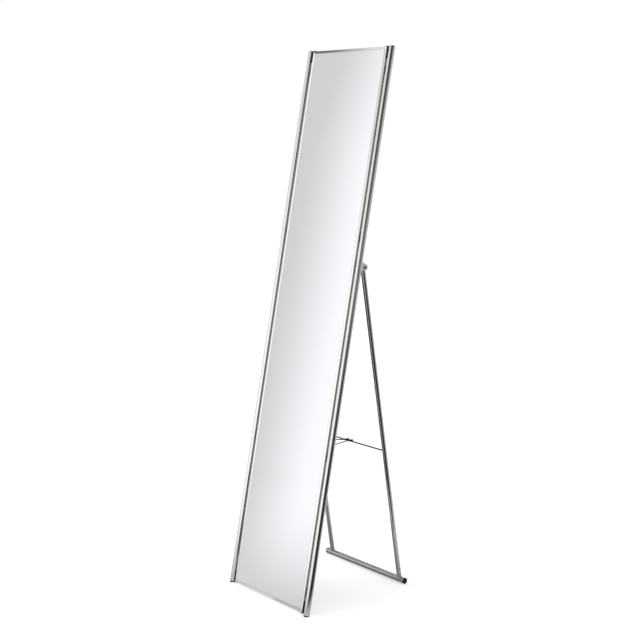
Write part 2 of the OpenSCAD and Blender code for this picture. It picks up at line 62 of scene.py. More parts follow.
# Measures of the CAD frame, in metres and radians. The mirror frame is x across, y the depth
# behind the side tubes' axes and z the height along the slope; the leg frame hangs from the pivot.
LEAN = math.radians(11.2)
LEG_ANGLE = math.radians(9.3)
GLASS_HALF = 0.1475
GLASS_LOW = 0.005
GLASS_TOP = 1.498
GLASS_BACK = -0.001
BEVEL_W = 0.007
BOARD_BACK = 0.003
RAIL_BACK = 0.007
RAIL_HALF = 0.013
RAIL_HEIGHTS = (0.060, 0.420, 1.000, 1.438)
BOARD_SCREW_X = 0.1125
STILE_X = 0.1625
STILE_R = 0.008
PIVOT_H = 0.925
PIVOT_BACK = 0.031
SOCKET_R = 0.0022
LUG_SEAM_X = 0.1585
LUG_SEAM_LOW = 0.914
LUG_SEAM_HIGH = 0.941
LUG_ROOT_BACK = 0.003
LEG_X = 0.1429
LEG_R = 0.0065
LEG_LEN = 0.904755
FOOT_BAR_R = 0.008
CROSS_ROD_R = 0.002
CROSS_ROD_DROP = 0.518
STAY_RAIL_H = 0.420
SADDLE_X = 0.06171
SADDLE_T = 0.0012
SADDLE_SCREW_HALF = 0.0075

PIVOT = Vector(JOINTS["leg_fold"]["pos_m"])
MIRROR_Y = PIVOT.y - PIVOT_H * math.sin(LEAN) - PIVOT_BACK * math.cos(LEAN)
MIRROR_PLACE = Matrix.Translation((0.0, MIRROR_Y, 0.0)) @ Matrix.Rotation(-LEAN, 4, "X")
LEG_PLACE = Matrix.Translation(PIVOT) @ Matrix.Rotation(LEG_ANGLE, 4, "X")
BAR_PLACE = Matrix.Rotation(math.radians(90.0), 4, "Y")

# Measures of the added forms. A screw is head radius, head height, shank radius, shank length.
# An EASE is the width of eased edges; angles are in degrees.
BOARD_SCREW = (3.0 * MM, 1.6 * MM, 1.75 * MM, 6.0 * MM)
SADDLE_SCREW = (2.2 * MM, 1.6 * MM, 1.25 * MM, 4.2 * MM)
HOOK_EASE = 0.25 * MM
SADDLE_EASE = 0.2 * MM
BEAD_STEP = 0.35 * MM
RIPPLE_DEPTH = 0.09
RIPPLE_SEED = 5
LUG_BEAD_SHARE = 0.9
MERGE_DIST = 0.002 * MM
FLAT_ANGLE = 0.4
SHARP_ANGLE = 40.0
SCREW_SHARP_ANGLE = 35.0
SCREW_STEPS = 40
LEG_RING_STEPS = 48
ROD_RING_STEPS = 28
# Depth within which a point counts as lying on a face, and the soft edges of the dark lines painted on the
# glass
SKIN = 0.03 * MM
RIDGE_LINE = (0.25 * MM, 0.55 * MM)
RIM_LINE = (0.5 * MM, 0.9 * MM)
# Pitch of the print of the press screen on hardboard, and depth of its paler cut edge
SCREEN_PITCH = 1.1 * MM
BOARD_EDGE = 0.6 * MM
# Range of a grain's blotches that the finishes use
BLOTCHES = (0.3, 0.7)
# Soft edges of the dark reflection painted on the side tubes: up from the floor, and from the left side to
# the right
DARK_REFLECTION_UP = (0.03, 0.26)
DARK_REFLECTION_ACROSS = (-0.1, 0.1)

# Camera, fitted to the photograph, and lamps; angles in degrees
CAMERA_PLACE = Vector((2.50103, -2.11429, 1.27017))
CAMERA_TURN = (90.0 - 9.08, 0.0, 49.709)
CAMERA_LENS = 68.744
KEY_TURN = (38.0, 0.0, -42.0)
KEY_SOFTNESS = 50.0
FILL_TURN = (48.0, 0.0, 128.0)
FILL_SOFTNESS = 60.0

# The room that polished metal sees. Azimuth is in degrees from straight in front of the mirror,
# growing towards the left; elevation in degrees upwards. A pair is the two ends of a soft edge, and
# a BAND is centre, half width and soft edge.
FRONT_LEVEL = 1.06
HIGH_LEVEL = 0.66
HIGH_BAND = (5.0, 24.0, 14.0)
HIGH_RISE = (7.0, 22.0)
LEFT_LEVEL = 0.69
LEFT_START = (47.3, 51.0)
LEFT_END = (59.0, 66.0)
LEFT_SLANT = 0.1
SLANT_LOW = -4.0
SLANT_TOP = 13.0
FAR_LEFT_LEVEL = 0.30
FAR_LEFT_START = (74.0, 83.0)
SIDE_LEVEL = 0.46
SIDE_RIGHT_START = (-96.0, -84.0)
SIDE_LEFT_START = (126.0, 140.0)
BACK_LEVEL = 0.66
BACK_BAND = (180.0, 12.0, 14.0)
CEILING_LEVEL = 0.43
CEILING_START = (22.0, 27.0)
PANEL_BAND = (58.0, 5.0, 5.0)
PANEL_EDGE = (57.2, 59.8)
PANEL_LEVELS = (0.80, 0.18)
# The black card in it: its sides and their soft edges, how far it spreads to the left as the
# elevation rises, how much light it takes away, and the band of elevations in which it is paler
CARD_SIDES = (-60.0, -105.0)
CARD_SOFT = (10.0, 12.0)
CARD_RISE = (5.0, 21.0)
CARD_SPREAD = 18.0
CARD_DEPTH = 0.97
CARD_PALER = 0.13
CARD_PALER_BAND = (7.0, 2.0, 9.0)

# The floor: how white the camera sees it in full light, then how polished metal sees it: its room's
# elevation, its fade into the room, where it is darker aside, and the shadow painted behind the mirror
FLOOR_WHITE = 1.22
FLOOR_ELEVATION = -3.0
FLOOR_FADE = 1.5
FLOOR_CARD_SIDES = (-48.0, -121.0)
FLOOR_CARD_START = (0.22, 0.42)
ASIDE_RIGHT = (-50.0, -10.0)
ASIDE_LEFT = (110.0, 150.0)
SHADE_BACK = 0.21
SHADE_REACH = (0.10, 0.42)
SHADE_START = (0.0, 0.09)
SHADE_DEPTH = 0.62

# The black card at the right front, from its left foot to its right foot
FLAG_LEFT = Vector((0.244, -0.432, 0.0))
FLAG_RIGHT = Vector((0.645, -0.308, 0.0))
FLAG_RISE = Vector((0.0, 0.0, 2.2))
FLAG_SOFT = 0.07
FLAG_LEVEL = 0.05
FLAG_PALER = 0.13
FLAG_PALER_HEIGHT = 0.8
FLAG_PALER_REACH = (0.1, 0.5)


# ---------------------------------------------------------------- settings

def length_setting(name, description, value, low, high):
    """Setting for a length, given in millimetres"""
    return FloatProperty(
        name=name, description=description, default=value * MM, min=low * MM, max=high * MM,
        precision=5, unit="LENGTH")


def level_setting(name, description, value, high=1.0):
    return FloatProperty(name=name, description=description, default=value, min=0.0, max=high)


def colour_setting(name, of_what, *value):
    return FloatVectorProperty(
        name=name, description="Colour of the " + of_what, subtype="COLOR", size=3, default=value,
        min=0.0, max=1.0)


class FloorMirrorSizes(bpy.types.PropertyGroup):
    """Sizes of the small forms that are added to the CAD frame"""
    edge_ease: length_setting(
        "Eased edge", "Width of the eased edges of bars, plates and clips", 0.35, 0.05, 1.0)
    bead_rail: length_setting("Rail weld", "Radius of the weld bead at a rail's end", 1.2, 0.5, 2.0)
    bead_leg: length_setting(
        "Leg weld", "Radius of the weld bead between a leg and the foot bar", 1.2, 0.5, 2.0)
    bead_rod: length_setting("Rod weld", "Radius of the weld bead at an end of the cross rod", 0.8, 0.3, 1.5)
    ripple_pitch: length_setting(
        "Weld ripple", "Distance from one ripple of a weld bead to the next", 1.4, 0.5, 4.0)
    screw_seed: IntProperty(
        name="Screw turn", description="Seed for the angle at which each screw stopped",
        default=11, min=0, max=999)


class FloorMirrorColours(bpy.types.PropertyGroup):
    """Colours of the materials"""
    silver: colour_setting("Silvering", "reflection in the glass", 0.925, 0.932, 0.957)
    glass_edge: colour_setting("Glass edge", "polished edge of the glass", 0.42, 0.47, 0.45)
    back_paint: colour_setting("Back paint", "paint behind the silvering", 0.24, 0.25, 0.26)
    chrome: colour_setting("Chrome", "chromed steel", 0.86, 0.87, 0.875)
    satin: colour_setting("Satin steel", "satin foot bar", 0.64, 0.622, 0.598)
    wire: colour_setting("Drawn wire", "drawn rod and wire", 0.12, 0.119, 0.117)
    zinc: colour_setting("Zinc", "zinc-plated steel", 0.55, 0.56, 0.58)
    plastic: colour_setting("Plastic", "moulded plastic", 0.009, 0.009, 0.0095)
    rubber: colour_setting("Rubber", "rubber plugs", 0.022, 0.022, 0.022)
    board: colour_setting("Board", "hardboard", 0.028, 0.023, 0.020)
    foam: colour_setting("Foam", "foam sheet", 0.86, 0.86, 0.84)
    nylon: colour_setting("Nylon", "nylon washers", 0.80, 0.78, 0.72)


class FloorMirrorStudio(bpy.types.PropertyGroup):
    """Floor and light of the studio"""
    floor_half: FloatProperty(
        name="Floor", description="Half of the floor's side", default=9.0, min=2.0, max=40.0, unit="LENGTH")
    sky: level_setting("Sky", "Level of the light that comes from all round", 0.62)
    key: level_setting("Key lamp", "Strength of the soft lamp at the front left", 0.95, 4.0)
    fill: level_setting("Fill lamp", "Strength of the soft lamp at the back right", 0.55, 4.0)
    floor_tone: level_setting("Floor tone", "Lightness of the floor's own colour", 0.75)
    floor_near: level_setting(
        "Floor in chrome", "Level at which metal sees the floor near the mirror", 0.66, 1.2)
    floor_aside: level_setting(
        "Floor aside in chrome", "The same at the right and behind the mirror", 0.46, 1.2)


def colours():
    return bpy.context.scene.floor_mirror_colours


def sizes():
    return bpy.context.scene.floor_mirror_sizes


# ---------------------------------------------------------------- node writing

class Net:
    """Adds nodes to one tree and joins them"""

    def __init__(self, tree):
        self.tree = tree

    def add(self, kind, fed=None, **settings):
        """New node; fed gives its inputs by name or number"""
        node = self.tree.nodes.new(kind)
        for name, value in settings.items():
            setattr(node, name, value)
        for socket, value in (fed or {}).items():
            self.feed(node.inputs[socket], value)
        return node

    def feed(self, socket, value):
        """Joins a source to a socket, or sets the socket's own value"""
        if isinstance(value, bpy.types.NodeSocket):
            self.tree.links.new(value, socket)
        elif socket.type == "RGBA":
            socket.default_value = (*value, 1.0)
        else:
            socket.default_value = value

    def calc(self, operation, *values, clamp=False):
        fed = dict(enumerate(values))
        return self.add("ShaderNodeMath", fed, operation=operation, use_clamp=clamp).outputs[0]

    def times(self, first, *others):
        for other in others:
            first = self.calc("MULTIPLY", first, other)
        return first

    def minus(self, first, second):
        return self.calc("SUBTRACT", first, second)

    def ramp(self, value, slope, start):
        """The start plus slope times the value"""
        return self.calc("MULTIPLY_ADD", value, slope, start)

    def toward(self, base, share, level):
        """Changes the base to a level by a share"""
        return self.ramp(self.minus(level, base), share, base)

    def length(self, first, second):
        """Length of a vector with these two parts"""
        squares = [self.calc("POWER", part, 2.0) for part in (first, second)]
        return self.calc("SQRT", self.calc("ADD", *squares))

    def span(self, value, low, high, to_low=0.0, to_high=1.0):
        """Smooth step from to_low at low to to_high at high"""
        fed = dict(enumerate((value, low, high, to_low, to_high)))
        return self.add("ShaderNodeMapRange", fed, interpolation_type="SMOOTHSTEP").outputs[0]

    def fall(self, value, low, high):
        """Smooth step from 1 down to 0"""
        return self.span(value, low, high, 1.0, 0.0)

    def mix(self, factor, first, second):
        return self.add("ShaderNodeMix", {0: factor, 6: first, 7: second}, data_type="RGBA").outputs[2]

    def shades(self, factor, colour, first, second):
        """Mix of two shades of a colour"""
        return self.mix(factor, shade(colour, first), shade(colour, second))

    def noise(self, vector, scale, detail=2.0, roughness=0.5, distortion=0.0):
        return self.add("ShaderNodeTexNoise", {
            "Vector": vector, "Scale": scale, "Detail": detail, "Roughness": roughness,
            "Distortion": distortion}).outputs["Fac"]

    def cells(self, vector, scale):
        return self.add("ShaderNodeTexVoronoi", {"Vector": vector, "Scale": scale}, feature="F1").outputs

    def mapping(self, vector, location=(0.0, 0.0, 0.0), rotation=(0.0, 0.0, 0.0), scale=(1.0, 1.0, 1.0)):
        return self.add("ShaderNodeMapping", {
            "Vector": vector, "Location": location, "Rotation": rotation, "Scale": scale}).outputs[0]

    def in_place(self, where, place):
        """Object coordinates turned into the frame of a placed part"""
        back = place.inverted()
        return self.mapping(where, tuple(back.translation), tuple(back.to_euler()))

    def split(self, vector):
        return self.add("ShaderNodeSeparateXYZ", {0: vector}).outputs

    def bump(self, height, strength, distance):
        return self.add("ShaderNodeBump", {
            "Strength": strength, "Distance": distance * MM, "Height": height}).outputs["Normal"]

    def where(self, kind="Object"):
        return self.add("ShaderNodeTexCoord").outputs[kind]

    def glow(self, strength):
        return self.add("ShaderNodeEmission", {"Strength": strength}).outputs[0]

    def group(self, name, **fed):
        """Outputs of the named shader group, fed by name with _ for a space"""
        fed = {label.replace("_", " "): value for label, value in fed.items()}
        return self.add("ShaderNodeGroup", fed, node_tree=shader_group(name)).outputs


def shade(colour, factor):
    return tuple(max(0.0, min(1.0, part * factor)) for part in colour)


def bare_net(holder):
    """Net of the emptied tree of a material or world"""
    holder.use_nodes = True
    holder.node_tree.nodes.clear()
    return Net(holder.node_tree)


def tree_net(name, kind, takes):
    """Net of a new node group; takes gives each input's kind of socket by its label"""
    tree = bpy.data.node_groups.new(name, kind)
    for label, sort in takes.items():
        tree.interface.new_socket(name=label, in_out="INPUT", socket_type="NodeSocket" + sort)
    return Net(tree)


# ---------------------------------------------------------------- shader groups
# Each takes the group's inputs and returns its outputs by name.

def polish_group(net, given):
    """Fine polishing lines along the local z axis, a faint haze and the plating's slight waviness"""
    vector = given["Vector"]
    drawn = net.mapping(vector, scale=(1.0, 1.0, 0.02))
    return {
        "Lines": net.noise(drawn, 2500.0, detail=3.0, roughness=0.6),
        "Haze": net.noise(vector, 38.0, detail=3.0, roughness=0.55, distortion=0.4),
        "Wave": net.noise(vector, 55.0, detail=1.0, roughness=0.4),
    }


def grain_group(net, given):
    """Moulded or cast skin: fine bumps with a few larger ones, and soft blotches"""
    vector = given["Vector"]
    fine = net.noise(vector, given["Scale"], roughness=0.6)
    pits = net.cells(vector, net.times(given["Scale"], 0.4))["Distance"]
    return {
        "Height": net.calc("ADD", fine, net.times(pits, 0.5)),
        "Blotch": net.noise(vector, 90.0, detail=4.0, roughness=0.6),
    }


def dust_group(net, given):
    """Dust that lies on what faces up, and more of it near the floor"""
    normal = net.add("ShaderNodeNewGeometry").outputs["Normal"]
    upward = net.span(net.split(normal)[2], 0.1, 0.95)
    low = net.fall(net.split(given["Vector"])[2], 0.0, given["Reach"])
    patches = net.span(net.noise(given["Vector"], 160.0, detail=4.0, roughness=0.65), 0.35, 0.7)
    both = net.calc("ADD", net.times(upward, patches, 0.7), net.times(low, patches))
    return {"Dust": net.calc("MULTIPLY", both, given["Amount"], clamp=True)}


def room_group(net, given):
    """What polished metal sees of the studio in a direction: light walls, and the loss by a black card"""
    azimuth = given["Azimuth"]
    elevation = given["Elevation"]

    def within(value, half, soft):
        """1 within half of zero, 0 beyond a soft edge"""
        return net.fall(net.calc("ABSOLUTE", value), half, half + soft)

    def around(centre, half, soft):
        """1 in a band of azimuths"""
        return within(net.calc("WRAP", net.minus(azimuth, centre), -180.0, 180.0), half, soft)

    # Light wall in front, darker towards the top; its left edge slants as the wall recedes
    high = net.times(around(*HIGH_BAND), net.span(elevation, *HIGH_RISE))
    light = net.toward(FRONT_LEVEL, high, HIGH_LEVEL)
    height = net.calc("MINIMUM", net.calc("MAXIMUM", elevation, SLANT_LOW), SLANT_TOP)
    shifted = net.minus(given["Wall Azimuth"], net.times(height, LEFT_SLANT))
    left = net.times(net.span(shifted, *LEFT_START), net.fall(azimuth, *LEFT_END))
    light = net.toward(light, left, LEFT_LEVEL)
    light = net.toward(light, net.span(azimuth, *FAR_LEFT_START), FAR_LEFT_LEVEL)
    # Grey walls at the sides and behind
    sides = net.calc("MAXIMUM", net.fall(azimuth, *SIDE_RIGHT_START), net.span(azimuth, *SIDE_LEFT_START))
    light = net.toward(light, sides, SIDE_LEVEL)
    light = net.toward(light, around(*BACK_BAND), BACK_LEVEL)
    # Darker ceiling, with one panel that is bright in its right half and dark in its left
    panel = net.span(azimuth, *PANEL_EDGE, *PANEL_LEVELS)
    ceiling = net.toward(CEILING_LEVEL, around(*PANEL_BAND), panel)
    light = net.toward(light, net.span(elevation, *CEILING_START), ceiling)
    # Black card to the right of the camera, wider at the top and a little lighter at half height
    spread = net.span(elevation, *CARD_RISE, 0.0, CARD_SPREAD)
    started = net.fall(net.minus(net.minus(azimuth, spread), given["Card Start"]), 0.0, CARD_SOFT[0])
    ended = net.span(net.minus(azimuth, given["Card End"]), 0.0, CARD_SOFT[1])
    centre, half, soft = CARD_PALER_BAND
    paler = within(net.minus(elevation, centre), half, soft)
    return {"Light": light, "Loss": net.times(started, ended, net.ramp(paler, -CARD_PALER, CARD_DEPTH))}


# Each group's builder and inputs; an input without a value is a vector
GROUPS = {
    "Polish": (polish_group, {"Vector": None}),
    "Grain": (grain_group, {"Vector": None, "Scale": 3000.0}),
    "Dust": (dust_group, {"Vector": None, "Reach": 0.06, "Amount": 0.3}),
    "Studio room": (room_group, {
        "Azimuth": 0.0, "Elevation": 0.0, "Wall Azimuth": 0.0, "Card Start": CARD_SIDES[0],
        "Card End": CARD_SIDES[1]}),
}


def shader_group(name):
    """The named shader group, built at its first use"""
    if name in bpy.data.node_groups:
        return bpy.data.node_groups[name]
    build, takes = GROUPS[name]
    kinds = {label: "Vector" if value is None else "Float" for label, value in takes.items()}
    net = tree_net(name, "ShaderNodeTree", kinds)
    for item in net.tree.interface.items_tree:
        if takes[item.name] is not None:
            item.default_value = takes[item.name]
    gives = build(net, net.add("NodeGroupInput").outputs)
    for label in gives:
        net.tree.interface.new_socket(name=label, in_out="OUTPUT", socket_type="NodeSocketFloat")
    net.add("NodeGroupOutput", gives)
    return net.tree


# ---------------------------------------------------------------- materials
# Each builder takes object coordinates and a colour and returns the principled shader's inputs.

def polished_chrome(net, where, colour, place, roughness, dust, wave=1.0, floor_dark_reflection=0.0):
    """Chromed steel with polishing lines along the local z axis of its place, with a dark reflection painted
    near the floor
    """
    polish = net.group("Polish", Vector=net.in_place(where, place))
    dusty = net.group("Dust", Vector=where, Amount=dust)["Dust"]
    tint = net.shades(polish["Haze"], colour, 0.965, 1.02)
    if floor_dark_reflection:
        # Painted dark reflection: the colour darkens near the floor, most on the left tube
        axes = net.split(where)
        low = net.span(axes[2], *DARK_REFLECTION_UP, floor_dark_reflection, 0.0)
        low = net.times(low, net.span(axes[0], *DARK_REFLECTION_ACROSS, 1.0, 0.15))
        tint = net.mix(low, tint, shade(colour, 0.5))
    lined = net.span(polish["Lines"], 0.3, 0.75, roughness * 0.7, roughness * 1.5)
    height = net.ramp(polish["Wave"], 0.4 * wave, net.times(polish["Lines"], 0.04))
    return {
        "Base Color": net.mix(dusty, tint, (0.55, 0.53, 0.50)),
        "Metallic": net.minus(1.0, net.times(dusty, 0.6)),
        "Roughness": net.ramp(dusty, 0.5, net.ramp(polish["Haze"], 0.02, lined)),
        "Normal": net.bump(height, 0.6, 0.05),
    }


def weld_metal(net, where, colour):
    """Plated weld bead, duller than the tube beside it"""
    grain = net.group("Grain", Vector=where, Scale=2200.0)
    return {
        "Base Color": net.shades(grain["Blotch"], colour, 0.82, 0.98),
        "Metallic": 1.0,
        "Roughness": net.span(grain["Blotch"], *BLOTCHES, 0.12, 0.24),
        "Normal": net.bump(grain["Height"], 0.4, 0.05),
    }


def silvered_glass(net, where, colour):
    """Mirror glass: silvered face and bevel, dark lines painted at the bevel's ridge and rim, polished green
    edge and painted back
    """
    tints = colours()
    local = net.split(net.in_place(where, MIRROR_PLACE))
    across = net.minus(GLASS_HALF, net.calc("ABSOLUTE", local[0]))
    upright = net.calc("MINIMUM", net.minus(local[2], GLASS_LOW), net.minus(GLASS_TOP, local[2]))
    inset = net.calc("MINIMUM", across, upright)
    on_edge = net.calc("LESS_THAN", inset, SKIN)
    on_back = net.calc("GREATER_THAN", local[1], GLASS_BACK - SKIN)
    off_face = net.calc("MAXIMUM", on_edge, on_back)
    on_bevel = net.calc("LESS_THAN", inset, BEVEL_W)
    # Painted dark lines: a painted reflection line where the bevel meets the face, and painted shade along
    # the rim
    painted_ridge = net.fall(net.calc("ABSOLUTE", net.minus(inset, BEVEL_W)), *RIDGE_LINE)
    lines = net.calc("MAXIMUM", painted_ridge, net.fall(inset, *RIM_LINE))
    smear = net.noise(where, 9.0, detail=5.0, roughness=0.6, distortion=1.2)
    silver = net.mix(on_bevel, net.shades(smear, colour, 0.985, 1.0), (0.93, 0.955, 0.945))
    silver = net.mix(net.times(lines, 0.55), silver, (0.16, 0.20, 0.19))
    edge = net.shades(net.noise(where, 1800.0), tints.glass_edge, 0.75, 1.2)
    paint = net.shades(net.noise(where, 70.0, detail=4.0), tints.back_paint, 0.8, 1.15)
    clear = net.ramp(smear, 0.012, net.times(lines, 0.05))
    rough = {0: off_face, 2: clear, 3: net.ramp(on_back, 0.35, 0.22)}
    return {
        "Base Color": net.mix(off_face, silver, net.mix(on_back, edge, paint)),
        "Metallic": net.minus(1.0, off_face),
        "Roughness": net.add("ShaderNodeMix", rough, data_type="FLOAT").outputs[0],
    }


def moulded_plastic(net, where, colour, dust):
    """Injection-moulded plastic with a fine spark-eroded skin"""
    grain = net.group("Grain", Vector=where, Scale=3200.0)
    dusty = net.group("Dust", Vector=where, Amount=dust, Reach=0.012)["Dust"]
    rough = net.span(grain["Blotch"], *BLOTCHES, 0.36, 0.5)
    return {
        "Base Color": net.mix(dusty, net.shades(grain["Blotch"], colour, 0.75, 1.5), (0.20, 0.19, 0.17)),
        "Roughness": net.ramp(dusty, 0.3, rough),
        "Specular IOR Level": 0.25,
        "Normal": net.bump(grain["Height"], 0.35, 0.06),
    }


def black_rubber(net, where, colour):
    """Rubber of the foot plugs, scuffed and dusty where it meets the floor"""
    grain = net.group("Grain", Vector=where, Scale=1500.0)
    dusty = net.group("Dust", Vector=where, Amount=0.8, Reach=0.004)["Dust"]
    return {
        "Base Color": net.mix(dusty, net.shades(grain["Blotch"], colour, 0.8, 1.4), (0.16, 0.15, 0.135)),
        "Roughness": net.span(grain["Blotch"], *BLOTCHES, 0.68, 0.86),
        "Normal": net.bump(grain["Height"], 0.6, 0.1),
    }


def zinc_plate(net, where, colour, light=1.0, socket=0.0):
    """Zinc-plated steel with a crystalline mottle, and painted shade that darkens the colour inside a bolt's
    socket
    """
    tone = net.split(net.cells(where, 900.0)["Color"])[0]
    grain = net.group("Grain", Vector=where, Scale=2600.0)
    mottle = net.ramp(tone, 0.5, net.times(grain["Blotch"], 0.5))
    base = net.shades(mottle, shade(colour, light), 0.8, 1.18)
    if socket:
        # Painted shade: the colour goes near black inside the bolt's hex socket, where shade falls
        axes = net.split(net.mapping(where, (0.0, -PIVOT.y, -PIVOT.z)))
        socket_shade = net.fall(net.length(axes[1], axes[2]), socket, 1.08 * socket)
        base = net.mix(socket_shade, base, (0.02, 0.02, 0.02))
    return {
        "Base Color": base,
        "Metallic": 1.0,
        "Roughness": net.span(mottle, 0.2, 0.8, 0.24, 0.42),
        "Normal": net.bump(net.ramp(tone, 0.4, grain["Height"]), 0.25, 0.03),
    }


def hardboard(net, where, colour):
    """Brown hardboard: matted fibres, darker flecks and the print of the press screen on the back"""
    local = net.in_place(where, MIRROR_PLACE)
    axes = net.split(local)
    strands = []
    for turn, scale in ((0.5, 420.0), (1.6, 520.0), (2.7, 470.0)):
        laid = net.mapping(local, rotation=(0.0, turn, 0.0), scale=(1.0, 1.0, 0.12))
        strands.append(net.noise(laid, scale, detail=3.0, roughness=0.7, distortion=0.6))
    fibre = net.calc("MAXIMUM", strands[0], net.calc("MAXIMUM", strands[1], strands[2]))
    fleck = net.span(fibre, 0.62, 0.76)
    chips = net.span(net.noise(local, 800.0, roughness=0.6), 0.62, 0.72)
    base = net.shades(net.noise(local, 14.0, detail=5.0, roughness=0.6), colour, 0.66, 1.34)
    base = net.mix(net.times(fleck, 0.6), base, shade(colour, 3.0))
    base = net.mix(net.times(chips, 0.6), base, shade(colour, 0.4))
    on_edge = net.calc("GREATER_THAN", net.calc("ABSOLUTE", axes[0]), GLASS_HALF - BOARD_EDGE)
    weft, warp = [net.calc("SINE", net.times(axes[i], FULL_TURN / SCREEN_PITCH)) for i in (0, 2)]
    screen = net.times(weft, warp, net.calc("GREATER_THAN", axes[1], BOARD_BACK - 0.1 * MM))
    return {
        "Base Color": net.mix(on_edge, base, net.mix(fleck, (0.24, 0.22, 0.20), (0.36, 0.34, 0.31))),
        "Roughness": net.span(fibre, 0.4, 0.8, 0.62, 0.82),
        "Specular IOR Level": 0.2,
        "Normal": net.bump(net.ramp(screen, 0.35, fibre), 0.5, 0.12),
    }


def foam_sheet(net, where, colour):
    """Closed-cell foam sheet"""
    cells = net.cells(where, 1100.0)["Distance"]
    return {
        "Base Color": net.shades(net.noise(where, 60.0, detail=3.0), colour, 0.94, 1.03),
        "Roughness": net.span(cells, 0.1, 0.7, 0.75, 0.9),
        "Normal": net.bump(cells, 0.5, 0.15),
    }


def natural_nylon(net, where, colour):
    """Milky nylon with slight flow marks"""
    flow = net.noise(where, 320.0, detail=3.0, distortion=1.0)
    return {
        "Base Color": net.shades(flow, colour, 0.93, 1.05),
        "Roughness": net.span(flow, *BLOTCHES, 0.34, 0.46),
        "Subsurface Weight": 0.15,
        "Subsurface Scale": 0.5 * MM,
        "Normal": net.bump(flow, 0.15, 0.03),
    }


# Each finish: its builder, the setting of its colour, and what else the builder takes
FINISHES = {
    "Silvered glass": (silvered_glass, "silver", {}),
    "Foam sheet": (foam_sheet, "foam", {}),
    "Hardboard": (hardboard, "board", {}),
    "Black rubber": (black_rubber, "rubber", {}),
    "Natural nylon": (natural_nylon, "nylon", {}),
    "Moulded black plastic": (moulded_plastic, "plastic", {"dust": 0.25}),
    "Plated weld": (weld_metal, "chrome", {}),
    "Zinc plate": (zinc_plate, "zinc", {}),
    "Zinc bolt": (zinc_plate, "zinc", {"light": 1.25, "socket": SOCKET_R}),
    "Chromed side tube": (
        polished_chrome, "chrome", {"place": MIRROR_PLACE, "roughness": 0.045, "dust": 0.05, "floor_dark_reflection": 0.45}),
    "Chromed leg": (polished_chrome, "chrome", {"place": LEG_PLACE, "roughness": 0.03, "dust": 0.02}),
    "Chromed flat": (
        polished_chrome, "chrome", {"place": BAR_PLACE, "roughness": 0.075, "dust": 0.15, "wave": 1.6}),
    "Satin foot bar": (polished_chrome, "satin", {"place": BAR_PLACE, "roughness": 0.24, "dust": 0.15}),
    "Drawn steel": (polished_chrome, "wire", {"place": BAR_PLACE, "roughness": 0.16, "dust": 0.05}),
}


def finish(name):
    """The named material, built at its first use"""
    if name in bpy.data.materials:
        return bpy.data.materials[name]
    build, colour, further = FINISHES[name]
    material = bpy.data.materials.new(name)
    net = bare_net(material)
    fed = build(net, net.where(), getattr(colours(), colour), **further)
    shader = net.add("ShaderNodeBsdfPrincipled", fed)
    net.add("ShaderNodeOutputMaterial", {"Surface": shader.outputs["BSDF"]})
    return material


# ---------------------------------------------------------------- making pieces

def dress(node, name):
    """Gives a CAD node the named finish"""
    slots = NODES[node].material_slots
    if not slots:
        raise RuntimeError(node + " has no material slot")
    for slot in slots:
        slot.material = finish(name)


def add_piece(name, mesh, material, body, replaced=()):
    """New piece at the origin that rides on a body"""
    mesh.materials.clear()
    mesh.materials.append(material)
    piece = new_object(name, mesh)
    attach(piece, body)
    if replaced:
        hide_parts(*replaced)
    return piece


def new_object(name, data):
    """New object, linked to the scene"""
    made = bpy.data.objects.new(name, data)
    bpy.context.scene.collection.objects.link(made)
    return made


def settled_mesh(thing):
    """Plain mesh of an object with its modifiers worked out; the object goes"""
    bpy.context.view_layer.update()
    graph = bpy.context.evaluated_depsgraph_get()
    mesh = bpy.data.meshes.new_from_object(thing.evaluated_get(graph))
    bpy.data.objects.remove(thing)
    return mesh


def mesh_from(form, name):
    """New mesh of a bmesh form, which goes"""
    mesh = bpy.data.meshes.new(name)
    form.to_mesh(mesh)
    form.free()
    return mesh


def smooth(mesh, sharp_angle):
    mesh.polygons.foreach_set("use_smooth", [True] * len(mesh.polygons))
    mesh.set_sharp_from_angle(angle=math.radians(sharp_angle))


def meets_tube(point):
    """True where a point of the mirror's parts lies on a side tube"""
    local = MIRROR_PLACE.inverted() @ point
    return math.hypot(abs(local.x) - STILE_X, local.y) < STILE_R + 0.05 * MM


def eased_copy(node, width, spared):
    """Copy of a CAD node's mesh, merged, with its sharp edges eased and its flat faces kept flat"""
    form = bmesh.new()
    form.from_mesh(NODES[node].data)
    bmesh.ops.remove_doubles(form, verts=form.verts, dist=MERGE_DIST)
    bmesh.ops.dissolve_limit(
        form, angle_limit=math.radians(FLAT_ANGLE), use_dissolve_boundaries=False, verts=form.verts,
        edges=form.edges)
    sharp = [
        edge for edge in form.edges
        if edge.is_manifold and edge.calc_face_angle(0.0) > math.radians(SHARP_ANGLE)
        and not all(spared(corner.co) for corner in edge.verts)
    ]
    bmesh.ops.bevel(
        form, geom=sharp, offset=width, offset_type="OFFSET", segments=2, profile=0.5,
        affect="EDGES", clamp_overlap=True)
    bmesh.ops.triangulate(form, faces=[face for face in form.faces if len(face.verts) > 4])
    mesh = mesh_from(form, node + ".eased")
    smooth(mesh, SHARP_ANGLE)
    thing = new_object(node + ".work", mesh)
    modifier = thing.modifiers.new("Flat faces", "WEIGHTED_NORMAL")
    modifier.keep_sharp = True
    modifier.weight = 80
    return settled_mesh(thing)


def add_eased(node, material, body, width=None, spared=lambda point: False):
    """Piece that stands for a CAD node, with eased edges"""
    mesh = eased_copy(node, width or sizes().edge_ease, spared)
    return add_piece(node + ".eased", mesh, finish(material), body, (node,))


def turns(count):
    """Angles that go once round in equal steps"""
    return [FULL_TURN * i / count for i in range(count)]


